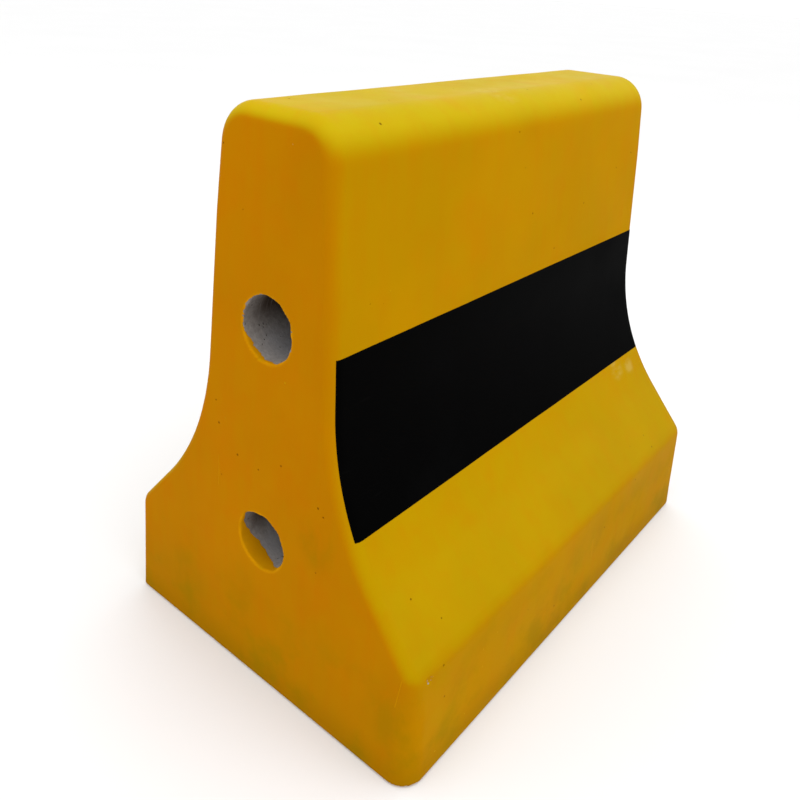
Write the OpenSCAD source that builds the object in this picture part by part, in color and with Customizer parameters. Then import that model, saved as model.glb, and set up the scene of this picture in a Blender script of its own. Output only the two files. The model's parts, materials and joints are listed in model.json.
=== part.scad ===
// Precast concrete isolation pier: a short block with a flared barrier profile, two pipe
// holes from end to end, a marking band on each long side and a cast-in bar cage.
// X runs along the holes, Y across the block and Z up. The origin is the middle of the base.

/* [Block] */
// Height of the block
block_h = 570; // [540:5:620]
// Length of the base
base_l = 600; // [560:10:900]
// Width of the base
base_w = 400; // [380:5:440]
// Height of the plinth, below the flare
plinth_h = 126; // [110:2:140]
// Mould draft of the plinth sides and of both ends, in degrees
draft_a = 3; // [1:0.5:4]
// Slope of the flare, in degrees from upright
flare_a = 41; // [38:0.5:44]
// Taper of the upper part, in degrees from upright
taper_a = 3.6; // [2:0.2:5]
// Width of the top, between the meeting lines of top and sides
top_w = 132; // [124:2:150]

/* [Edges] */
// Radius of the hollow between the flare and the upper part
waist_r = 270; // [200:10:300]
// Radius of the long top edges
top_edge_r = 37; // [20:1:45]
// Radius of the short top edges, above the ends
end_edge_r = 14; // [6:1:30]
// Radius of the edges between the plinth and the flare
plinth_edge_r = 18; // [8:1:30]

/* [Pipe holes] */
// Diameter of both holes
hole_d = 60; // [50:1:62]
// Height of the upper hole's axis
upper_hole_z = 388; // [375:1:405]
// Height of the lower hole's axis
lower_hole_z = 170; // [160:1:180]

/* [Marking bands] */
// Height of the lower edge of the bands
band_bottom = 227; // [215:1:260]
// Height of the upper edge of the bands
band_top = 385; // [340:1:420]
// Thickness of the marking film
band_t = 0.5; // [0.3:0.1:1]

/* [Reinforcement] */
// Least concrete outside the links
cover = 25; // [20:1:28]
// Diameter of the long bars
bar_d = 10; // [8:1:10]
// Diameter of the links and base ties
link_d = 6; // [5:1:6]
// Inner radius of the bends in a link
bend_r = 12; // [10:1:16]
// Number of links along the block
link_count = 4; // [3:1:5]
// Distance from the ends of the top to the first and last link
link_end = 50; // [45:1:80]
// Diameter of the tie wire
wire_d = 1.2; // [0.8:0.1:1.4]

/* [Hidden] */
$fn = 96;
// Gap between crossing bars, which keeps each piece a solid of its own
gap = 0.5;
// How far a cutting shape runs past what it cuts
over = 10;
// How far shapes that make one solid run into each other
lap = 1;
// The bends of a link are this much thicker, so that its straight lengths end inside them
bend_extra = 0.3;

half_w = base_w / 2;
half_l = base_l / 2;
half_top = top_w / 2;
// Half width of the plinth at its upper edge
plinth_y = half_w - plinth_h * tan(draft_a);
// Height at which the flare line and the taper line meet, inside the hollow
waist_z = (plinth_y + plinth_h * tan(flare_a) - half_top - block_h * tan(taper_a))
    / (tan(flare_a) - tan(taper_a));

// Corners of the straight-line cross-section, as [half width, height]
base_corner = [half_w, 0];
plinth_corner = [plinth_y, plinth_h];
waist_corner = [half_top + (block_h - waist_z) * tan(taper_a), waist_z];
top_corner = [half_top, block_h];
top_middle = [0, block_h];

// Depth of a link's centreline inside the concrete face
link_in = cover + link_d / 2;
// Radius of the bends in a link, at its centreline
bend_mid_r = bend_r + link_d / 2;
// Distance between the centrelines of a link and a long bar tied to it
bar_in = (link_d + bar_d) / 2 + gap;
// Base ties stand this far beside the links
tie_dx = link_d + gap;
link_pitch = 2 * (end_x(block_h) - link_end) / (link_count - 1);

// Heights of the base ties and of the four levels of long bars
tie_z = link_in;
base_bar_z = tie_z + bar_in;
shoulder_bar_z = 100;
waist_bar_z = (upper_hole_z + lower_hole_z) / 2;
top_bar_z = block_h - link_in - bend_mid_r;

// Distances of the long bars from the middle plane
base_bar_y = plinth_line(base_bar_z, link_in) - bar_in;
shoulder_bar_y = plinth_line(shoulder_bar_z, link_in) - bar_in;
waist_bar_y = taper_line(waist_bar_z, link_in) - bar_in;
top_bar_y = taper_line(top_bar_z, link_in) - bar_in;

// Radius of a turn of tie wire, clear of the two bars inside it
wire_ring_r = 0.62 * (bar_d + link_d);
// A turn's centre lies this far from the long bar's axis, towards the link
wire_dy = (link_d + gap) / 2;

link_numbers = [1:link_count];
LINKS = [for (i = link_numbers) str("link_", i)];
TIES = [for (i = link_numbers) str("base_tie_", i)];

// ---- Lengths and places ----

// Half length of the block at height z
function end_x(z) = half_l - z * tan(draft_a);
// Half widths of the plinth and of the upper part at height z, measured d inside the face
function plinth_line(z, d) = half_w - z * tan(draft_a) - d / cos(draft_a);
function taper_line(z, d) = half_top + (block_h - z) * tan(taper_a) - d / cos(taper_a);
// Place of link number i along the block
function link_x(i) = (i - (link_count + 1) / 2) * link_pitch;

function unit(v) = v / norm(v);
// Turn from direction u to direction v in degrees, positive to the left
function turn(u, v) = atan2(u[0] * v[1] - u[1] * v[0], u * v);
// Point r away from both sides of the corner b of the path a-b-c, on its inner side
function round_centre(a, b, c, r) =
    b + unit(unit(a - b) + unit(c - b)) * r / cos(turn(b - a, c - b) / 2);
// Point on the side towards a where a round of radius r meets it
function round_start(a, b, c, r) = b + unit(a - b) * r * tan(abs(turn(b - a, c - b)) / 2);
// The corner b of the path a-b-c moved to the left of both sides by d
function moved_corner(a, b, c, d) = round_centre(a, b, c, d * sign(turn(b - a, c - b)));

// ---- Cross-section ----

// What an arc of radius r takes off the outer corner b of the path a-b-c
module corner_waste(a, b, c, r) {
    outside = b - lap * unit(unit(a - b) + unit(c - b));
    difference() {
        polygon([round_start(a, b, c, r), outside, round_start(c, b, a, r)]);
        translate(round_centre(a, b, c, r)) circle(r);
    }
}

// One side of the block above a low point, out to d outside the concrete face
module side_profile(low_points, d = 0) {
    low = plinth_corner + d * [cos(flare_a), sin(flare_a)];
    high = top_corner + d * [cos(taper_a), sin(taper_a)];
    hollow = moved_corner(plinth_corner, waist_corner, top_corner, -d);
    hollow_r = waist_r - d;
    chord = [round_start(low, hollow, high, hollow_r), round_start(high, hollow, low, hollow_r)];
    difference() {
        polygon(concat(low_points, [low], chord, [high, [-lap, high[1]]]));
        translate(round_centre(low, hollow, high, hollow_r)) circle(hollow_r);
    }
}

// Half of the block's cross-section
module half_profile() {
    difference() {
        side_profile([[-lap, 0], base_corner]);
        corner_waste(base_corner, plinth_corner, waist_corner, plinth_edge_r);
        corner_waste(waist_corner, top_corner, top_middle, top_edge_r);
    }
}

// ---- Solids ----

// Stretches a cross-section, drawn as [y, z], along the whole block
module along_block() {
    rotate([90, 0, 90]) linear_extrude(base_l + 2 * over, center = true) children();
}

// The side elevation of the block, which cuts its two drafted ends
module end_cuts() {
    top_x = end_x(block_h);
    rotate([90, 0, 0]) linear_extrude(base_w + 2 * over, center = true) difference() {
        polygon([[-half_l, 0], [half_l, 0], [top_x, block_h], [-top_x, block_h]]);
        for (side = [0, 1]) mirror([side, 0])
            corner_waste([half_l, 0], [top_x, block_h], top_middle, end_edge_r);
    }
}

module pipe_hole(z) {
    translate([0, 0, z]) rotate([0, 90, 0])
        cylinder(d = hole_d, h = base_l + 2 * over, center = true);
}

// Marking film on the +Y side, between its two heights
module band() {
    intersection() {
        along_block() difference() {
            intersection() {
                side_profile([[0, plinth_h]], band_t);
                translate([0, band_bottom]) square([half_w, band_top - band_bottom]);
            }
            side_profile([[-lap, 0], base_corner]);
        }
        end_cuts();
    }
}

// Straight bar along the block at half width y and height z
module long_bar(y, z) {
    translate([0, y, z]) rotate([0, 90, 0])
        cylinder(d = bar_d, h = 2 * (end_x(z) - cover), center = true);
}

// Round bar along a path in the XY plane, with a bend at each inner point
module bent_bar(points, d, r) {
    last = len(points) - 1;
    for (i = [1:last]) {
        bent_from = i == 1 ? points[0] : round_start(points[i], points[i - 1], points[i - 2], r);
        bent_to = i == last ? points[last] : round_start(points[i - 1], points[i], points[i + 1], r);
        along = unit(bent_to - bent_from);
        from = i == 1 ? bent_from : bent_from - lap * along;
        to = i == last ? bent_to : bent_to + lap * along;
        translate(from) rotate(atan2(along[1], along[0])) rotate([0, 90, 0])
            cylinder(d = d, h = norm(to - from));
    }
    for (i = [1:last - 1]) {
        a = points[i - 1];
        b = points[i];
        c = points[i + 1];
        bend = turn(b - a, c - b);
        centre = round_centre(a, b, c, r);
        out = (bend > 0 ? round_start(a, b, c, r) : round_start(c, b, a, r)) - centre;
        translate(centre) rotate(atan2(out[1], out[0]))
            rotate_extrude(angle = abs(bend)) translate([r, 0]) circle(d = d + bend_extra);
    }
}

// Link number i: one bar up one side, across the top and down the other side
module link_bar(i) {
    side = [
        [plinth_line(cover, link_in), cover],
        moved_corner(base_corner, plinth_corner, waist_corner, link_in),
        moved_corner(plinth_corner, waist_corner, top_corner, link_in),
        moved_corner(waist_corner, top_corner, top_middle, link_in)];
    other_side = [for (k = [len(side) - 1:-1:0]) [-side[k][0], side[k][1]]];
    translate([link_x(i), 0, 0]) rotate([90, 0, 90])
        bent_bar(concat(side, other_side), link_d, bend_mid_r);
}

// Straight tie across the base beside link number i
module base_tie_bar(i) {
    translate([link_x(i) + tie_dx, 0, tie_z]) rotate([90, 0, 0])
        cylinder(d = link_d, h = 2 * plinth_line(tie_z, cover), center = true);
}

// One turn of tie wire, in the diagonal plane between a bar along X and a bar along Z
module wire_turn() {
    rotate([0, 45, 0]) rotate_extrude() translate([wire_ring_r, 0]) circle(d = wire_d, $fn = 24);
}

// All turns of tie wire on link number i and on its base tie
module wire_turns(i) {
    for (side = [0, 1]) mirror([0, side, 0]) {
        for (bar = [[shoulder_bar_y, shoulder_bar_z], [waist_bar_y, waist_bar_z], [top_bar_y, top_bar_z]])
            translate([link_x(i), bar[0] + wire_dy, bar[1]]) wire_turn();
        translate([link_x(i) + tie_dx, base_bar_y, base_bar_z - wire_dy])
            rotate([90, 0, 0]) wire_turn();
    }
    translate([link_x(i) + tie_dx, 0, base_bar_z - wire_dy]) rotate([90, 0, 0]) wire_turn();
}

// Everything that the concrete is cast around
module cage() {
    for (side = [-1, 1]) {
        long_bar(side * base_bar_y, base_bar_z);
        long_bar(side * shoulder_bar_y, shoulder_bar_z);
        long_bar(side * waist_bar_y, waist_bar_z);
        long_bar(side * top_bar_y, top_bar_z);
    }
    long_bar(0, base_bar_z);
    for (i = link_numbers) {
        link_bar(i);
        base_tie_bar(i);
        wire_turns(i);
    }
}

// ---- Sub-parts ----

module concrete_block() {
    color("goldenrod") difference() {
        intersection() {
            along_block() {
                half_profile();
                mirror([1, 0]) half_profile();
            }
            end_cuts();
        }
        pipe_hole(upper_hole_z);
        pipe_hole(lower_hole_z);
        cage();
    }
}

module front_band() {
    color("black") mirror([0, 1, 0]) band();
}

module rear_band() {
    color("black") band();
}

module top_bar_front() {
    color("sienna") long_bar(-top_bar_y, top_bar_z);
}

module top_bar_rear() {
    color("sienna") long_bar(top_bar_y, top_bar_z);
}

module waist_bar_front() {
    color("sienna") long_bar(-waist_bar_y, waist_bar_z);
}

module waist_bar_rear() {
    color("sienna") long_bar(waist_bar_y, waist_bar_z);
}

module shoulder_bar_front() {
    color("sienna") long_bar(-shoulder_bar_y, shoulder_bar_z);
}

module shoulder_bar_rear() {
    color("sienna") long_bar(shoulder_bar_y, shoulder_bar_z);
}

module base_bar_front() {
    color("sienna") long_bar(-base_bar_y, base_bar_z);
}

module base_bar_middle() {
    color("sienna") long_bar(0, base_bar_z);
}

module base_bar_rear() {
    color("sienna") long_bar(base_bar_y, base_bar_z);
}

module link(i) {
    color("peru") link_bar(i);
}

module base_tie(i) {
    color("peru") base_tie_bar(i);
}

module tie_wires() {
    color("dimgray") for (i = link_numbers) wire_turns(i);
}

concrete_block();
front_band();
rear_band();
top_bar_front();
top_bar_rear();
waist_bar_front();
waist_bar_rear();
shoulder_bar_front();
shoulder_bar_rear();
base_bar_front();
base_bar_middle();
base_bar_rear();
for (i = link_numbers) link(i);
for (i = link_numbers) base_tie(i);
tie_wires();
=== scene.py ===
"""Looks of a precast concrete isolation pier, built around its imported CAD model.

The block is one watertight mesh made from a signed distance: its profile, its drafted ends, its
two pipe holes and the small faults of a cast and painted surface. The marking bands follow that
surface. The cast-in bars keep their CAD shapes. Everything is in metres.
"""

import json
import math

import bpy
import numpy as np
from mathutils import Matrix, Vector


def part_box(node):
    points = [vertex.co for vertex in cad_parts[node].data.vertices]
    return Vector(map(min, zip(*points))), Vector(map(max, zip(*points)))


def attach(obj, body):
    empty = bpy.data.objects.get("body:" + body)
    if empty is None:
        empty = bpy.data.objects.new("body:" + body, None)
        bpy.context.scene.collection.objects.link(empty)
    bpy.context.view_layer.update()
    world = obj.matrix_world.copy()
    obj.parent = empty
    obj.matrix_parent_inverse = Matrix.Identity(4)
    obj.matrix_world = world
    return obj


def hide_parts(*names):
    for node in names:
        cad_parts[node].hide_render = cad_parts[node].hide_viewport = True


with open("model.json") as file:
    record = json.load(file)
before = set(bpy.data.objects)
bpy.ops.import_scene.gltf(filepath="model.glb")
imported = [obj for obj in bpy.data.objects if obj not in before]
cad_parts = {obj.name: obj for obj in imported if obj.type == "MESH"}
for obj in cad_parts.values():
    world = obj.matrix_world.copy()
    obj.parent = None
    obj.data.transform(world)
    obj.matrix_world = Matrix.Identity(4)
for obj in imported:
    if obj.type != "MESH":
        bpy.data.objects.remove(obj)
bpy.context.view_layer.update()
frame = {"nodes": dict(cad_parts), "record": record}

MM = 0.001

# ---- Sizes repeated from the CAD source ----

PLINTH_H = 126 * MM
DRAFT = math.radians(3)
FLARE = math.radians(41)
TAPER = math.radians(3.6)
HALF_TOP = 66 * MM
WAIST_R = 270 * MM
TOP_EDGE_R = 37 * MM

# ---- Sizes read from the frame ----

HALF_L, HALF_W, BLOCK_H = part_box("concrete_block")[1]
BAND_LOW, BAND_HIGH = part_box("front_band")
BORES = {m["name"]: m for m in frame["record"]["mounts"] if m["kind"] == "bore"}
HOLE_R = BORES["upper_pipe_bore"]["dims"]["r_mm"] * MM
UPPER_HOLE_Z = BORES["upper_pipe_bore"]["pos_m"][2]
LOWER_HOLE_Z = BORES["lower_pipe_bore"]["pos_m"][2]
HOLE_HEIGHTS = (UPPER_HOLE_Z, LOWER_HOLE_Z)
NEAR, FAR = -1, 1
FRONT, REAR = -1, 1

# ---- Sizes of the cast and painted surface ----

# Radius of the edges between the plinth and the flare, worn a little rounder than they were cast
PLINTH_EDGE_R = 26 * MM
# Radius of the upright edges at these heights: the near front one, worn below, and the other three
EDGE_HEIGHTS = np.array([0, 80, 125, 480, 540]) * MM
WORN_RADII = np.array([24, 22, 13, 11, 14]) * MM
CRISP_RADII = np.array([6, 6, 6, 10, 14]) * MM
BASE_EDGE_R = 4 * MM
# Radius of the edge round each mouth, and how far outside a hole its mouth still reaches
MOUTH_R = 1.6 * MM
MOUTH_REACH = 2 * MM
WAVE_DEPTH = 0.5 * MM
# How far the marking film lies outside and inside the surface, and ends short of the block's ends
FILM_OUT = 0.35 * MM
FILM_IN = 0.3 * MM
FILM_END_GAP = 6 * MM

# Spacing of the block's mesh: across and up, round the holes, along near the ends, and in between
WIDE_STEP = 4.2 * MM
HOLE_STEP = 2.2 * MM
END_STEP = 2.4 * MM
LONG_STEP = 8 * MM
# How far from an axis the mesh round a hole stays fine, and how long each fine end is
HOLE_ZONE = HOLE_R + 6 * MM
END_ZONE = 48 * MM
# Rows and columns of points on each marking band
BAND_ROWS = 48
BAND_COLUMNS = 120

rng = np.random.default_rng(570)


# ---- Signed distance of the block ----

def unit(vector):
    return vector / np.linalg.norm(vector)


def turn(u, v):
    """Turn from direction u to direction v in radians, positive to the left."""
    return math.atan2(u[0] * v[1] - u[1] * v[0], u @ v)


def half_outline():
    """Half of the cross-section as lines and arcs, from below the base to the top's middle."""
    plinth_y = HALF_W - PLINTH_H * math.tan(DRAFT)
    below = -100 * MM
    low = np.array([HALF_W - below * math.tan(DRAFT), below])
    plinth = np.array([plinth_y, PLINTH_H])
    steep = math.tan(FLARE)
    slight = math.tan(TAPER)
    waist_z = (plinth_y + PLINTH_H * steep - HALF_TOP - BLOCK_H * slight) / (steep - slight)
    waist = np.array([HALF_TOP + (BLOCK_H - waist_z) * slight, waist_z])
    top = np.array([HALF_TOP, BLOCK_H])
    middle = np.array([0.0, BLOCK_H])
    corners = [low, plinth, waist, top, middle]
    radii = [PLINTH_EDGE_R, WAIST_R, TOP_EDGE_R]
    pieces = []
    start = low
    for before, corner, after, radius in zip(corners, corners[1:], corners[2:], radii):
        bend = turn(corner - before, after - corner)
        reach = radius * math.tan(abs(bend) / 2)
        arc_start = corner + unit(before - corner) * reach
        arc_end = corner + unit(after - corner) * reach
        bisector = unit(unit(before - corner) + unit(after - corner))
        centre = corner + bisector * radius / math.cos(bend / 2)
        pieces.append(("line", start, arc_start))
        pieces.append(("arc", centre, radius, -bisector, abs(bend) / 2, math.copysign(1, bend)))
        start = arc_end
    pieces.append(("line", start, middle))
    return pieces


OUTLINE = half_outline()


def profile_distance(y, z):
    """Signed distance to the cross-section, negative inside."""
    y = np.abs(y)
    best = np.full(np.broadcast(y, z).shape, np.inf)
    for piece in OUTLINE:
        if piece[0] == "line":
            start, end = piece[1:]
            along = unit(end - start)
            length = np.linalg.norm(end - start)
            place = np.clip((y - start[0]) * along[0] + (z - start[1]) * along[1], 0, length)
            dy = y - start[0] - place * along[0]
            dz = z - start[1] - place * along[1]
            side = np.where(dy * along[1] - dz * along[0] < 0, -1.0, 1.0)
            distance = side * np.hypot(dy, dz)
        else:
            centre, radius, middle, half_angle, bulge = piece[1:]
            dy = y - centre[0]
            dz = z - centre[1]
            away = np.hypot(dy, dz)
            on_arc = dy * middle[0] + dz * middle[1] >= away * math.cos(half_angle)
            distance = np.where(on_arc, bulge * (away - radius), np.inf)
        best = np.where(np.abs(distance) < np.abs(best), distance, best)
    return best


def shared(a, b, radius):
    """Signed distance of what two solids share, with the edge between them rounded."""
    inner = np.minimum(np.maximum(a, b), -radius)
    return inner + np.hypot(np.maximum(a + radius, 0), np.maximum(b + radius, 0))


def end_depth(x, z):
    """How deep a point lies behind the nearer end face."""
    return (HALF_L - z * math.tan(DRAFT) - np.abs(x)) * math.cos(DRAFT)


def on_end(end, y, z, out=0):
    """A place on an end face, or out from it, from millimetres."""
    return (end * (HALF_L - z * MM * math.tan(DRAFT) + out * MM), y * MM, z * MM)


def on_plinth(side, x, z, out=0):
    """A place on the plinth's side, or out from it, from millimetres."""
    return (x * MM, side * (HALF_W - z * MM * math.tan(DRAFT) + out * MM), z * MM)


# Slow waves in the mould's faces, each as its pace along the three axes and its phase
WAVES = [
    (rng.uniform(-1, 1, 3) * math.tau / size, rng.uniform(0, math.tau))
    for size in (0.28, 0.21, 0.17, 0.13, 0.1, 0.08)
]


def waves(x, y, z):
    """Slight hollows left by the mould, between 0 and WAVE_DEPTH and none at the base."""
    total = sum(np.sin(k[0] * x + k[1] * y + k[2] * z + phase) for k, phase in WAVES)
    share = 0.5 + 0.5 * total / len(WAVES)
    return WAVE_DEPTH * share * np.clip(z / (30 * MM), 0, 1)


def rim_waves():
    """Uneven rim of a mouth, as (waves round it, depth, phase)."""
    return [(n, rng.uniform(0.2, 0.5) * MM, rng.uniform(0, math.tau)) for n in (2, 3, 5, 8, 11)]


# Each mouth: its end, the height of its hole and the waves of its rim
MOUTHS = [(end, height, rim_waves()) for end in (NEAR, FAR) for height in HOLE_HEIGHTS]
# How far into a hole its rim is uneven
RIM_DEPTH = 7 * MM

# Chips as (centre, radius): by the plinth corners, at one mouth and on the base edges
CHIPS = [
    (on_plinth(FRONT, -271, 119, out=4), 6 * MM),
    (on_plinth(REAR, 279, 121, out=3), 5 * MM),
    (on_end(NEAR, -29, 380, out=-18), 2.2 * MM),
    (on_end(FAR, -62, -1, out=-1), 8 * MM),
    (on_plinth(REAR, -70, -2), 7 * MM),
    (on_plinth(REAR, 205, -1), 5 * MM),
]


def bore_distance(x, y, z, height):
    """Signed distance of everything around a hole, negative in the concrete."""
    depth = np.maximum(end_depth(x, z), 0)
    angle = np.arctan2(z - height, y)
    radius = HOLE_R
    for end, mouth_height, rim in MOUTHS:
        if mouth_height != height:
            continue
        uneven = sum(size * np.sin(n * angle + phase) for n, size, phase in rim)
        radius = radius + np.where(x * end > 0, uneven * np.exp(-depth / RIM_DEPTH), 0)
    return radius - np.hypot(y, z - height)


def edge_radius(x, y, z):
    """Radius of the upright edge nearest to a point."""
    worn = np.interp(z, EDGE_HEIGHTS, WORN_RADII)
    crisp = np.interp(z, EDGE_HEIGHTS, CRISP_RADII)
    return np.where((x < 0) & (y < 0), worn, crisp)


def block_distance(x, y, z):
    """Signed distance of the finished block, negative inside the concrete."""
    solid = shared(profile_distance(y, z), -end_depth(x, z), edge_radius(x, y, z))
    solid = shared(solid, -z, BASE_EDGE_R) + waves(x, y, z)
    for height in HOLE_HEIGHTS:
        solid = shared(solid, bore_distance(x, y, z, height), MOUTH_R)
    for place, radius in CHIPS:
        cut = radius - np.sqrt((x - place[0]) ** 2 + (y - place[1]) ** 2 + (z - place[2]) ** 2)
        solid = np.maximum(solid, cut)
    return solid


# ---- Meshes from the signed distance ----

def distance_at(points):
    return block_distance(points[:, 0], points[:, 1], points[:, 2])


def slope_at(points):
    """Gradient of the signed distance at each point."""
    step = 0.05 * MM
    columns = []
    for axis in range(3):
        shift = np.zeros(3)
        shift[axis] = step
        columns.append((distance_at(points + shift) - distance_at(points - shift)) / (2 * step))
    return np.stack(columns, 1)


def settle(points, level=0.0, rounds=3):
    """Moves points along the gradient until their signed distance is level."""
    # Keeps a step short where the gradient all but vanishes
    least = 0.05
    for _ in range(rounds):
        slope = slope_at(points)
        miss = distance_at(points) - level
        points = points - slope * (miss / np.maximum((slope ** 2).sum(1), least))[:, None]
    return points


def stepped(stops, steps):
    """Coordinates through the stops, with about that step between each two of them."""
    runs = [
        np.linspace(start, stop, max(round((stop - start) / step), 1), endpoint=False)
        for start, stop, step in zip(stops, stops[1:], steps)
    ]
    return np.concatenate(runs + [stops[-1:]])


def grid_lines():
    """Coordinates of the sampling grid, fine at both ends and round the holes."""
    margin = 3 * MM
    end = HALF_L + margin
    side = HALF_W + margin
    holes = [height + way * HOLE_ZONE for height in sorted(HOLE_HEIGHTS) for way in (-1, 1)]
    xs = stepped([-end, END_ZONE - end, end - END_ZONE, end], [END_STEP, LONG_STEP, END_STEP])
    ys = stepped([-side, -HOLE_ZONE, HOLE_ZONE, side], [WIDE_STEP, HOLE_STEP, WIDE_STEP])
    zs = stepped([-margin, *holes, BLOCK_H + margin], [WIDE_STEP, HOLE_STEP] * 2 + [WIDE_STEP])
    return xs, ys, zs


def net_points(field, lines, cell):
    """One point in each cell that the surface crosses: the mean of the crossings of its edges."""
    corners = [np.array([i, j, k]) for i in (0, 1) for j in (0, 1) for k in (0, 1)]
    total = np.zeros((len(cell), 3))
    crossings = np.zeros(len(cell))
    for first in corners:
        for second in corners:
            step = second - first
            if step.sum() != 1 or step.min() < 0:
                continue
            a = cell + first
            b = cell + second
            value_a = field[tuple(a.T)]
            value_b = field[tuple(b.T)]
            crossed = (value_a < 0) != (value_b < 0)
            share = np.where(crossed, value_a / np.where(crossed, value_a - value_b, 1), 0)[:, None]
            place_a = np.stack([lines[d][a[:, d]] for d in range(3)], 1)
            place_b = np.stack([lines[d][b[:, d]] for d in range(3)], 1)
            total += np.where(crossed[:, None], place_a + share * (place_b - place_a), 0)
            crossings += crossed
    return total / crossings[:, None]


def net_quads(inside, number):
    """One quad for each grid edge that the surface crosses, facing outwards."""
    quads = []
    for axis in range(3):
        u, v = np.eye(3, dtype=int)[[(axis + 1) % 3, (axis + 2) % 3]]
        low = np.moveaxis(inside, axis, 0)[:-1]
        high = np.moveaxis(inside, axis, 0)[1:]
        changed = np.moveaxis(low != high, 0, axis)
        node = np.argwhere(changed)
        around = [number[tuple((node - away).T)] for away in (0 * u, u, u + v, v)]
        quad = np.stack(around, 1)
        outwards = inside[tuple(node.T)]
        quads.append(np.where(outwards[:, None], quad, quad[:, ::-1]))
    return np.concatenate(quads)


def relax(points, quads, rounds=3):
    """Evens out the quads: each point moves towards its neighbours' mean, then back to the surface."""
    ends = np.concatenate([quads, np.roll(quads, 1, 1)]).ravel()
    others = np.concatenate([np.roll(quads, 1, 1), quads]).ravel()
    count = np.bincount(ends, minlength=len(points))
    for _ in range(rounds):
        totals = [np.bincount(ends, points[others, d], len(points)) for d in range(3)]
        mean = np.stack(totals, 1) / count[:, None]
        points = settle(points + 0.5 * (mean - points), rounds=2)
    return points


def block_surface():
    """Points and outward quads of the block's surface."""
    lines = grid_lines()
    field = block_distance(*np.ix_(*lines))
    inside = field < 0
    crossed = np.zeros([n - 1 for n in field.shape], int)
    for i in (0, 1):
        for j in (0, 1):
            for k in (0, 1):
                shape = crossed.shape
                crossed += inside[i:i + shape[0], j:j + shape[1], k:k + shape[2]]
    active = (crossed > 0) & (crossed < 8)
    number = np.full(active.shape, -1)
    number[active] = np.arange(active.sum())
    points = net_points(field, lines, np.argwhere(active))
    quads = net_quads(inside, number)
    points = relax(settle(points), quads)
    return settle(points), quads


def new_piece(name, points, faces, normals=None):
    """A smooth-shaded mesh object in the part's frame."""
    mesh = bpy.data.meshes.new(name)
    mesh.from_pydata(points.tolist(), [], faces.tolist())
    mesh.shade_smooth()
    if normals is not None:
        mesh.normals_split_custom_set_from_vertices(normals.tolist())
    piece = bpy.data.objects.new(name, mesh)
    bpy.context.scene.collection.objects.link(piece)
    return piece


def add_attribute(piece, name, values):
    attribute = piece.data.attributes.new(name, "FLOAT", "POINT")
    attribute.data.foreach_set("value", values.astype(np.float32))


# ---- The block ----

# How far the paint runs past the base's edge and stops short of a chip
PAINT_LAP = 0.5 * MM
# How far the paint runs into each mouth: least, greatest, and the direction of the greatest
WRAPS = {
    (NEAR, UPPER_HOLE_Z): (0, 4.5 * MM, math.radians(-65)),
    (NEAR, LOWER_HOLE_Z): (2 * MM, 18 * MM, math.radians(-60)),
    (FAR, UPPER_HOLE_Z): (1 * MM, 9 * MM, math.radians(-110)),
    (FAR, LOWER_HOLE_Z): (1 * MM, 15 * MM, math.radians(-70)),
}


def paint_margin(points):
    """How far each point lies inside the painted area, in millimetres; negative where bare."""
    x, y, z = points.T
    margin = z + PAINT_LAP
    for (end, height), (least, greatest, direction) in WRAPS.items():
        angle = np.arctan2(z - height, y)
        reach = least + (greatest - least) * (0.5 + 0.5 * np.cos(angle - direction)) ** 4
        in_hole = (np.hypot(y, z - height) < HOLE_R + MOUTH_REACH) & (x * end > 0)
        margin = np.where(in_hole, np.minimum(margin, reach - end_depth(x, z)), margin)
    for place, radius in CHIPS:
        away = np.linalg.norm(points - np.array(place), axis=1)
        margin = np.minimum(margin, away - radius - PAINT_LAP)
    return margin / MM


def describe(piece, points, normals):
    """Stores what the paint's material has to know about each point of the block."""
    x, y, z = points.T
    from_axis = np.minimum(*(np.hypot(y, z - height) for height in HOLE_HEIGHTS))
    outside = np.clip((from_axis - HOLE_R) / MOUTH_REACH, 0, 1)
    # Band round each mouth where a highlight is painted
    rim_middle = HOLE_R + 0.5 * MM
    rim_width = 2.5 * MM
    nearest_height = np.where(z < sum(HOLE_HEIGHTS) / 2, LOWER_HOLE_Z, UPPER_HOLE_Z)
    add_attribute(piece, "paint_margin", paint_margin(points))
    add_attribute(piece, "upward", normals[:, 2] * outside)
    add_attribute(piece, "endward", 1 - (1 - np.abs(normals[:, 0])) * outside)
    add_attribute(piece, "inside", 1 - outside)
    add_attribute(piece, "rim", np.clip(1 - np.abs(from_axis - rim_middle) / rim_width, 0, 1))
    add_attribute(piece, "hole_height", (z - nearest_height) / HOLE_R)
    add_attribute(piece, "hole_depth", end_depth(x, z))


def make_block():
    points, quads = block_surface()
    normals = slope_at(points)
    normals /= np.linalg.norm(normals, axis=1)[:, None]
    piece = new_piece("block", points, quads, normals)
    describe(piece, points, normals)
    return piece


# ---- The marking bands ----

def band_places():
    """Places (x, y, z) on the plain profile where the film lies, in rows; y counts outwards."""
    heights = np.linspace(BAND_LOW[2], BAND_HIGH[2], BAND_ROWS)
    even = np.linspace(-1, 1, BAND_COLUMNS)
    crowded_at_ends = np.sin(even * math.pi / 2) * 0.25 + even * 0.75
    z, share = np.meshgrid(heights, crowded_at_ends, indexing="ij")
    x = share * (HALF_L - z * math.tan(DRAFT) - FILM_END_GAP)
    # Each point starts well outside the upper part and moves in until it meets the profile
    y = np.full_like(z, HALF_W * 0.9)
    for _ in range(40):
        y = y - profile_distance(y, z)
    return x, y, z


def band_layer(places, side, level):
    """The places moved along Y until their signed distance from the block is level."""
    layer = places.copy()
    # Keeps a step short where the surface hardly faces sideways
    least_slope = 0.3
    for _ in range(6):
        miss = distance_at(layer) - level
        slope = slope_at(layer)[:, 1]
        layer[:, 1] -= miss / np.where(np.abs(slope) < least_slope, least_slope * side, slope)
    return layer


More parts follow.
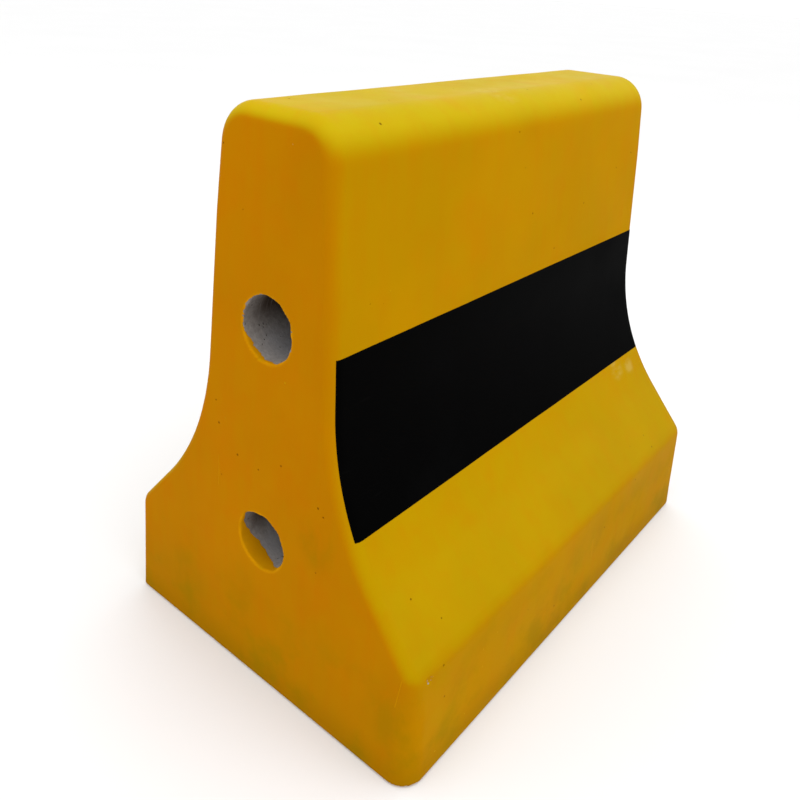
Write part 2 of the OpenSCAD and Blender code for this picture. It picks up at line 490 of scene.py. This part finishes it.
def band_faces():
    """Faces of the outer layer, of the inner layer and of the edge between them."""
    count = BAND_ROWS * BAND_COLUMNS
    number = np.arange(count).reshape(BAND_ROWS, BAND_COLUMNS)
    corners = [number[:-1, :-1], number[:-1, 1:], number[1:, 1:], number[1:, :-1]]
    sheet = np.stack(corners, -1).reshape(-1, 4)
    rim = np.concatenate([number[0, :], number[1:, -1], number[-1, -2::-1], number[-2:0:-1, 0]])
    after = np.roll(rim, -1)
    edge = np.stack([rim, rim + count, after + count, after], 1)
    return np.concatenate([sheet, sheet[:, ::-1] + count, edge])


def make_band(name, side):
    """Marking film on one long side, following the surface and closed all round."""
    x, y, z = band_places()
    places = np.stack([x.ravel(), side * y.ravel(), z.ravel()], 1)
    layers = [band_layer(places, side, level) for level in (FILM_OUT, -FILM_IN)]
    faces = band_faces()
    if side > 0:
        faces = faces[:, ::-1]
    piece = new_piece(name, np.concatenate(layers), faces)
    piece.data.set_sharp_from_angle(angle=math.radians(40))
    return piece


# ---- Materials ----

class Look:
    """A procedural material. Its methods add nodes and return the socket of their result."""

    def __init__(self, name):
        self.material = bpy.data.materials.new(name)
        self.material.use_nodes = True
        self.tree = self.material.node_tree
        self.shader = self.tree.nodes["Principled BSDF"]
        self.place = self.tree.nodes.new("ShaderNodeTexCoord").outputs["Object"]

    def feed(self, socket, value):
        """Links a socket to another node's result, or sets it to a value."""
        if isinstance(value, bpy.types.NodeSocket):
            self.tree.links.new(value, socket)
        else:
            socket.default_value = value

    def node(self, kind, inputs, **settings):
        made = self.tree.nodes.new(kind)
        for key, value in settings.items():
            setattr(made, key, value)
        for key, value in inputs.items():
            self.feed(made.inputs[key], value)
        return made

    def attribute(self, name):
        return self.node("ShaderNodeAttribute", {}, attribute_name=name).outputs["Fac"]

    def part(self, axis):
        """One coordinate of the place, in metres."""
        return self.node("ShaderNodeSeparateXYZ", {0: self.place}).outputs[axis]

    def math(self, operation, a, b=0.0):
        return self.node("ShaderNodeMath", {0: a, 1: b}, operation=operation).outputs[0]

    def vector_math(self, operation, inputs):
        return self.node("ShaderNodeVectorMath", inputs, operation=operation)

    def product(self, *values):
        """Several values multiplied together."""
        result = values[0]
        for value in values[1:]:
            result = self.math("MULTIPLY", result, value)
        return result

    def greatest(self, values):
        """The greatest of several values."""
        result, *others = values
        for value in others:
            result = self.math("MAXIMUM", result, value)
        return result

    def spread(self, stretch=(1, 1, 1), shift=(0, 0, 0)):
        """The place, stretched along each axis and then shifted."""
        scale = tuple(1 / s for s in stretch)
        return self.vector_math("MULTIPLY_ADD", {0: self.place, 1: scale, 2: shift}).outputs[0]

    def noise(self, size, detail=3.0, rough=0.5, stretch=(1, 1, 1), shift=(0, 0, 0)):
        """Noise between 0 and 1 with features of about that size in metres."""
        inputs = {"Scale": 1 / size, "Detail": detail, "Roughness": rough}
        inputs["Vector"] = self.spread(stretch, shift)
        return self.node("ShaderNodeTexNoise", inputs).outputs["Fac"]

    def cells(self, size, shift=(0, 0, 0)):
        """Distance to the nearest seeded point in metres, and a random number for that point."""
        inputs = {"Vector": self.spread(shift=shift), "Scale": 1 / size}
        made = self.node("ShaderNodeTexVoronoi", inputs)
        away = self.math("MULTIPLY", made.outputs["Distance"], size)
        pick = self.node("ShaderNodeSeparateColor", {0: made.outputs["Color"]}).outputs["Red"]
        return away, pick

    def specks(self, spacing, start, sizes, edge, shift=(0, 0, 0)):
        """1 in round spots at seeded points, fading over edge, and the random number of each.

        A spot's radius grows through sizes while its number grows from start to 1.
        """
        away, pick = self.cells(spacing, shift)
        radius = self.fade(pick, start, 1.0, *sizes)
        return self.fade(self.math("SUBTRACT", away, radius), *edge, 1, 0), pick

    def fade(self, value, start, end, low=0.0, high=1.0):
        """Runs smoothly from low to high while value runs from start to end."""
        inputs = {"Value": value, "From Min": start, "From Max": end, "To Min": low, "To Max": high}
        return self.node("ShaderNodeMapRange", inputs, interpolation_type="SMOOTHSTEP").outputs["Result"]

    def stroke(self, start, end, width):
        """1 within that width of a straight line between two places, and 0 away from it."""
        start = Vector(start)
        along = Vector(end) - start
        scaled = tuple(along / along.length_squared)
        offset = self.vector_math("SUBTRACT", {0: self.place, 1: start}).outputs[0]
        share = self.vector_math("DOT_PRODUCT", {0: offset, 1: scaled}).outputs["Value"]
        share = self.node("ShaderNodeClamp", {0: share}).outputs[0]
        nearest = self.vector_math("SCALE", {0: tuple(along), "Scale": share}).outputs[0]
        away = self.vector_math("DISTANCE", {0: offset, 1: nearest}).outputs["Value"]
        return self.fade(away, width * 0.4, width, 1, 0)

    def spot(self, place, radius):
        """1 at a place, and 0 from that radius on."""
        away = self.vector_math("DISTANCE", {0: self.place, 1: place}).outputs["Value"]
        return self.fade(away, radius * 0.3, radius, 1, 0)

    def mix(self, share, a, b, blend="MIX"):
        made = self.tree.nodes.new("ShaderNodeMix")
        made.data_type = "RGBA"
        made.blend_type = blend
        for key, value in {"Factor": share, "A": a, "B": b}.items():
            self.feed([s for s in made.inputs if s.name == key and s.enabled][0], value)
        return [s for s in made.outputs if s.enabled][0]

    def tint(self, tone, share, strength, other):
        """A tone that goes over to another by that strength where share is 1."""
        return self.mix(self.product(share, strength), tone, other)

    def mottle(self, tone, share, low, high):
        """A tone times low where share is 0, and times high where it is 1."""
        return self.mix(1.0, tone, self.mix(share, low, high), "MULTIPLY")

    def number_mix(self, share, a, b):
        inputs = {0: share, 2: a, 3: b}
        return self.node("ShaderNodeMix", inputs, data_type="FLOAT").outputs[0]

    def bump(self, height, depth):
        """A bump of that depth in metres."""
        inputs = {"Height": height, "Distance": depth, "Strength": 1.0}
        return self.node("ShaderNodeBump", inputs).outputs["Normal"]

    def set(self, **inputs):
        for key, value in inputs.items():
            self.feed(self.shader.inputs[key.replace("_", " ").title().replace("Ior", "IOR")], value)


def colour(red, green, blue):
    return (red, green, blue, 1.0)


# Runs of paint, each as its two ends
RUNS = [
    (on_end(NEAR, -180, 127), on_end(NEAR, -176, 93)),
    (on_end(NEAR, -187, 124), on_end(NEAR, -180, 127)),
    (on_end(NEAR, 62, 238), on_end(NEAR, 62, 205)),
    (on_plinth(FRONT, 45, 84), on_plinth(FRONT, 46, 60)),
    (on_end(FAR, 94, 224), on_end(FAR, 95, 188)),
    (on_plinth(REAR, -120, 90), on_plinth(REAR, -120, 62)),
]
RUN_WIDTH = 1.1 * MM
# Spots with pale rubbing marks: on the top, and on the flare below the far end of the band
RUBS = [
    ((-15 * MM, -34 * MM, BLOCK_H), 30 * MM),
    ((-120 * MM, 20 * MM, BLOCK_H), 22 * MM),
    ((215 * MM, -114 * MM, 217 * MM), 20 * MM),
    ((247 * MM, -119 * MM, 211 * MM), 15 * MM),
]
# Spots with an olive stain: on both ends, beside the lower hole and towards the base
STAINS = [
    (on_end(NEAR, -72, 205), 34 * MM),
    (on_end(NEAR, -172, 70), 42 * MM),
    (on_end(NEAR, 120, 60), 45 * MM),
    (on_end(FAR, 64, 190), 36 * MM),
    (on_end(FAR, -150, 50), 50 * MM),
]


def paint_with_painted_light(look):
    """The paint's yellow with painted light by which way it faces: side, end, slope, top and the top's
    edge, with a painted highlight round each mouth and the paint in the holes painted lighter.
    """
    upward = look.attribute("upward")
    # Painted highlight along the top's rounded edges
    painted_crown_highlight = look.product(look.fade(look.part("Z"), 0.510, 0.568), look.fade(upward, 0.08, 0.75))
    # Painted light and shade by facing: the ends darker and more orange than the sides, the slopes
    # lighter and the top lightest
    paint = look.mix(look.attribute("endward"), colour(0.416, 0.200, 0.0), colour(0.421, 0.159, 0.0))
    paint = look.mix(look.fade(upward, 0.1, 0.62), paint, colour(0.402, 0.230, 0.0))
    paint = look.mix(look.fade(upward, 0.6, 0.95), paint, colour(0.468, 0.331, 0.006))
    paint = look.mix(painted_crown_highlight, paint, colour(0.478, 0.333, 0.003))
    # Painted light: the paint in the holes is painted lighter against the shade there
    paint = look.mix(look.attribute("inside"), paint, colour(0.56, 0.225, 0.0))
    # Painted highlight round each mouth's rim
    return look.tint(paint, look.attribute("rim"), 0.32, colour(0.52, 0.26, 0.004))


def uneven(look, paint):
    """Clouds, patches and upright streaks in the paint."""
    cloud = look.fade(look.noise(0.17, 3, 0.55), 0.35, 0.7)
    paint = look.mottle(paint, cloud, colour(1.03, 1.01, 1), colour(0.95, 0.96, 1))
    patch = look.fade(look.noise(0.045, 4, 0.6, shift=(3, 1, 7)), 0.42, 0.72)
    paint = look.mottle(paint, patch, colour(0.99, 1.015, 1), colour(1.015, 0.96, 1))
    streak = look.fade(look.noise(0.016, 3, 0.55, stretch=(1, 1, 7), shift=(5, 2, 1)), 0.4, 0.68)
    return look.mottle(paint, streak, colour(0.995, 1.012, 1), colour(1.01, 0.97, 1))


def soiled_and_shaded(look, paint):
    """Painted shade and dirt on the paint: painted shade low down and at the foot, smudges low down and
    olive stains.
    """
    height = look.part("Z")
    low = look.fade(height, 0.0, 0.17, 1, 0)
    # Painted shade: darker low down, more on the ends than on the sides
    painted_low_shade = look.product(low, look.fade(look.attribute("endward"), 0.1, 0.9, 0.1, 0.3))
    paint = look.mix(painted_low_shade, paint, colour(0.29, 0.148, 0.0))
    blotch = look.fade(look.noise(0.03, 4, 0.6, stretch=(1, 1, 2)), 0.35, 0.65)
    stain = look.product(look.greatest(look.spot(*spot) for spot in STAINS), blotch)
    paint = look.tint(paint, stain, 0.4, colour(0.24, 0.145, 0.0))
    smudge = look.fade(look.noise(0.055, 4, 0.6, shift=(9, 2, 4)), 0.45, 0.7)
    paint = look.tint(paint, look.product(low, smudge), 0.55, colour(0.23, 0.15, 0.0))
    orange = look.fade(look.noise(0.06, 3, 0.55, shift=(2, 6, 8)), 0.52, 0.72)
    paint = look.tint(paint, look.product(low, orange), 0.35, colour(0.45, 0.16, 0.0))
    # Painted shade: darker still along the foot
    painted_foot_shade = look.fade(height, 0.0, 0.045, 1, 0)
    return look.tint(paint, painted_foot_shade, 0.4, colour(0.22, 0.115, 0.0))


def scuffed(look, paint):
    """Pale scuffs all over, and hazy rubbed spots."""
    streaks = look.noise(0.010, 5, 0.7, stretch=(2.5, 1, 1), shift=(5, 9, 2))
    paint = look.tint(paint, look.fade(streaks, 0.73, 0.78), 0.5, colour(0.52, 0.44, 0.20))
    haze = look.fade(look.noise(0.012, 4, 0.65, stretch=(2.5, 1, 1), shift=(8, 5, 3)), 0.42, 0.66)
    rub = look.product(look.greatest(look.spot(*spot) for spot in RUBS), haze)
    return look.tint(paint, rub, 0.22, colour(0.58, 0.47, 0.16))


def paint_coat(look):
    """Colour and height of the satin paint, with pinholes, droplets and runs."""
    pinhole, pick = look.specks(0.019, 0.3, (0.0002, 0.0011), (-0.0003, 0.0003))
    pinhole = look.product(pinhole, look.fade(pick, 0.3, 0.32))
    droplet, _ = look.specks(0.024, 0.5, (0, 0.0011), (-0.0005, 0.0003), shift=(7, 3, 5))
    run = look.greatest(look.stroke(start, end, RUN_WIDTH) for start, end in RUNS)

    # The paint's yellow with painted light, then its unevenness, its dirt and painted shade
    paint = soiled_and_shaded(look, uneven(look, paint_with_painted_light(look)))
    paint = look.tint(paint, pinhole, 0.7, colour(0.11, 0.032, 0.0))
    paint = look.tint(paint, droplet, 0.5, colour(0.52, 0.30, 0.002))
    paint = look.tint(paint, run, 0.45, colour(0.50, 0.22, 0.0))

    peel = look.product(look.noise(0.0035, 2, 0.5), 0.12)
    height = look.math("ADD", peel, look.noise(0.03, 2, 0.5, shift=(6, 3, 3)))
    height = look.math("SUBTRACT", height, look.product(pinhole, 1.6))
    height = look.math("ADD", height, look.product(look.math("MAXIMUM", run, droplet), 0.8))
    return scuffed(look, paint), look.math("ADD", height, 0.6)


def bare_stone(look):
    """Colour and height of bare concrete, with painted shade high up and deep in a hole, and painted
    light, a lighter and cooler grey, deep and low in it.
    """
    grain = look.noise(0.004, 5, 0.6)
    deep = look.fade(look.attribute("hole_depth"), 0.0, 0.038)
    upper = look.math("ADD", look.attribute("hole_height"), look.product(look.noise(0.03), 0.6))
    # Painted shade high up and deep in a hole
    painted_bore_shade = look.product(look.fade(upper, -0.5, 0.6), look.fade(deep, 0, 0.8, 0.3, 1.0))
    # Painted light deep and low in a hole: a lighter, cooler grey
    painted_bore_light = look.product(deep, look.fade(upper, -0.9, 0.1, 1, 0))
    ring = look.noise(0.0024, 3, 0.6, stretch=(1, 16, 16))
    pit, _ = look.specks(0.0045, 0.45, (0, 0.0007), (-0.0004, 0.0003), shift=(1, 4, 2))

    stone = look.mix(look.fade(grain, 0.3, 0.7), colour(0.22, 0.197, 0.18), colour(0.29, 0.265, 0.245))
    stone = look.mix(painted_bore_shade, stone, colour(0.055, 0.038, 0.028))
    stone = look.tint(stone, painted_bore_light, 0.7, colour(0.34, 0.345, 0.37))
    stone = look.mix(look.fade(ring, 0.55, 0.75, 0, 0.22), stone, colour(0.42, 0.39, 0.36))
    stone = look.tint(stone, pit, 0.6, colour(0.09, 0.07, 0.055))
    return stone, look.math("SUBTRACT", look.product(grain, 1.5), look.product(pit, 3.0))


def painted_concrete():
    """Satin road paint over cast concrete, bare in the holes, in chips and in patches below."""
    look = Look("painted_concrete")
    paint, paint_height = paint_coat(look)
    stone, stone_height = bare_stone(look)
    ragged = look.product(look.noise(0.009, 4, 0.6, shift=(2, 8, 5)), 8.0)
    margin = look.math("SUBTRACT", look.math("ADD", look.attribute("paint_margin"), ragged), 3.5)
    painted = look.fade(margin, -0.25, 0.25)
    satin = look.fade(look.noise(0.07, 3, 0.5, shift=(4, 4, 9)), 0.3, 0.7, 0.40, 0.52)
    look.set(
        base_color=look.mix(painted, stone, paint),
        roughness=look.number_mix(painted, 0.9, satin),
        normal=look.bump(look.number_mix(painted, stone_height, paint_height), 0.4 * MM),
        specular_ior_level=look.fade(look.attribute("upward"), 0.2, 0.9, 0.003, 0.012),
    )
    return look.material


def black_film():
    """Dense black marking film with faint dust and hairline scuffs."""
    look = Look("black_film")
    dust = look.fade(look.noise(0.09, 4, 0.6), 0.45, 0.8)
    tone = look.mix(dust, colour(0.0006, 0.0006, 0.0006), colour(0.0015, 0.0015, 0.0016))
    scuff = look.fade(look.noise(0.004, 2, 0.5, stretch=(18, 1, 1)), 0.7, 0.8)
    tone = look.tint(tone, scuff, 0.5, colour(0.004, 0.004, 0.0038))
    look.set(
        base_color=tone,
        roughness=look.math("ADD", look.product(dust, 0.15), 0.5),
        normal=look.bump(look.noise(0.02, 3, 0.5), 0.15 * MM),
        specular_ior_level=0.006,
    )
    return look.material


def rusty_steel(name, scale_tone, rust_tone, rust_share):
    """Hot-rolled steel: grey-blue mill scale under patches of rust."""
    look = Look(name)
    blur = 0.12
    rust = look.fade(look.noise(0.014, 5, 0.65), rust_share - blur, rust_share + blur, 1, 0)
    speck = look.noise(0.003, 3, 0.6, shift=(2, 2, 2))
    deep = look.mix(look.fade(speck, 0.35, 0.65), rust_tone, colour(0.10, 0.035, 0.014))
    tone = look.mix(rust, scale_tone, deep)
    look.set(
        base_color=tone,
        roughness=look.number_mix(rust, 0.45, 0.85),
        metallic=look.number_mix(rust, 0.8, 0.1),
        normal=look.bump(look.math("ADD", speck, look.product(rust, 0.6)), 0.25 * MM),
    )
    return look.material


def tie_wire():
    """Black annealed wire with a little rust bloom."""
    look = Look("tie_wire")
    bloom = look.fade(look.noise(0.01, 4, 0.6), 0.5, 0.68)
    look.set(
        base_color=look.mix(bloom, colour(0.035, 0.035, 0.038), colour(0.16, 0.06, 0.025)),
        roughness=look.number_mix(bloom, 0.42, 0.8),
        metallic=look.number_mix(bloom, 0.85, 0.15),
        normal=look.bump(look.noise(0.002, 2, 0.5), 0.05 * MM),
    )
    return look.material


def dress(node, material):
    """Gives a CAD node its material."""
    slots = frame["nodes"][node].data.materials
    slots.clear()
    slots.append(material)


# ---- Stage: camera, floor and light ----

# Camera direction (azimuth 0 looks along +Y), and its place in heights of the block
AZIMUTH = math.radians(-52.09)
ELEVATION = math.radians(25.40)
ROLL = math.radians(3.78)
CAMERA_PLACE = Vector((-1.1909, -0.7975, 1.1668)) * BLOCK_H
LENS_MM = 35.02
SHIFT_UP = -0.069
# Floor, in metres
FLOOR_R = 40
FLOOR_SIDES = 96
# Round studio light, high up and out from the near front corner, in metres and watts
LIGHT_PLACE = Vector((-0.3, -0.9, 2.6))
LIGHT_SIZE = 2.4
LIGHT_POWER = 22
WORLD_STRENGTH = 1.2


def make_camera():
    flat = math.cos(ELEVATION)
    back = Vector((math.sin(AZIMUTH) * flat, -math.cos(AZIMUTH) * flat, math.sin(ELEVATION)))
    level_right = Vector((0, 0, 1)).cross(back).normalized()
    level_up = back.cross(level_right)
    right = level_right * math.cos(ROLL) + level_up * math.sin(ROLL)
    up = level_up * math.cos(ROLL) - level_right * math.sin(ROLL)
    data = bpy.data.cameras.new("camera")
    data.sensor_width = 36
    data.lens = LENS_MM
    data.shift_y = SHIFT_UP
    data.clip_start = 0.01
    data.clip_end = 200
    camera = bpy.data.objects.new("camera", data)
    turned = Matrix((right, up, back)).transposed().to_4x4()
    camera.matrix_world = Matrix.Translation(CAMERA_PLACE) @ turned
    bpy.context.scene.collection.objects.link(camera)
    bpy.context.scene.camera = camera


def pale_floor():
    look = Look("pale_floor")
    tint = look.noise(0.8, 2, 0.5)
    look.set(base_color=look.mix(tint, colour(0.80, 0.80, 0.80), colour(0.83, 0.83, 0.83)), roughness=0.9)
    return look.material


def make_floor():
    angles = np.arange(FLOOR_SIDES) * math.tau / FLOOR_SIDES
    rim = np.stack([FLOOR_R * np.cos(angles), FLOOR_R * np.sin(angles), 0 * angles], 1)
    floor = new_piece("floor", rim, np.arange(FLOOR_SIDES)[None, :])
    floor.data.materials.append(pale_floor())


def make_light():
    data = bpy.data.lights.new("overhead", "AREA")
    data.shape = "DISK"
    data.size = LIGHT_SIZE
    data.energy = LIGHT_POWER
    overhead = bpy.data.objects.new("overhead", data)
    overhead.location = LIGHT_PLACE
    overhead.rotation_euler = LIGHT_PLACE.to_track_quat("Z", "Y").to_euler()
    bpy.context.scene.collection.objects.link(overhead)


def make_surroundings():
    world = bpy.data.worlds.new("studio")
    world.use_nodes = True
    background = world.node_tree.nodes["Background"]
    background.inputs["Color"].default_value = colour(1, 1, 1)
    background.inputs["Strength"].default_value = WORLD_STRENGTH
    bpy.context.scene.world = world
    bpy.context.scene.view_settings.view_transform = "Standard"


# ---- Assembly ----

make_camera()
make_floor()
make_light()
make_surroundings()

film = black_film()
block = make_block()
block.data.materials.append(painted_concrete())
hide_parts("concrete_block")
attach(block, "root")
for band_name, side in (("front_band", FRONT), ("rear_band", REAR)):
    band = make_band(band_name + "_film", side)
    band.data.materials.append(film)
    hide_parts(band_name)
    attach(band, "root")

ribbed = rusty_steel("ribbed_bar", colour(0.11, 0.115, 0.125), colour(0.24, 0.09, 0.035), 0.5)
plain = rusty_steel("plain_bar", colour(0.15, 0.15, 0.16), colour(0.28, 0.11, 0.045), 0.46)
wire = tie_wire()
for name in frame["nodes"]:
    if "_bar_" in name:
        dress(name, ribbed)
    elif name.startswith(("link_", "base_tie_")):
        dress(name, plain)
    elif name == "tie_wires":
        dress(name, wire)
